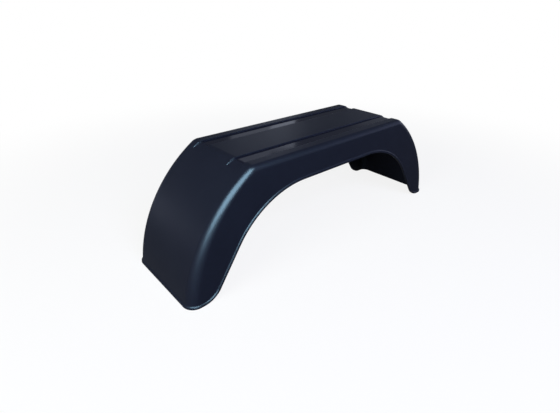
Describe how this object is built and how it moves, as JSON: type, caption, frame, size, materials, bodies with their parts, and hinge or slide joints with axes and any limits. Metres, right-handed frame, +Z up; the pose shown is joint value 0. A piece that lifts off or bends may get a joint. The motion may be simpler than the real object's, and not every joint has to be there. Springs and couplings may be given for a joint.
{
  "type": "trailer mudguard",
  "caption": "Moulded plastic mudguard for one trailer wheel: flat grooved top, curved end walls, a skirt down each side cut away in a wheel arch, and a bead round its free edge.",
  "frame": {"origin": "on the ground, in the middle between the two feet and the two skirts", "axes": "+X along the guard, the way the trailer travels; +Y across it, from the outer skirt to the skirt that goes against the trailer; +Z up"},
  "size_m": [0.8, 0.2322, 0.25],
  "materials": {
    "black_plastic": "satin, as moulded"
  },
  "bodies": {
    "root": {"mudguard_shell": "black_plastic"}
  },
  "joints": []
}
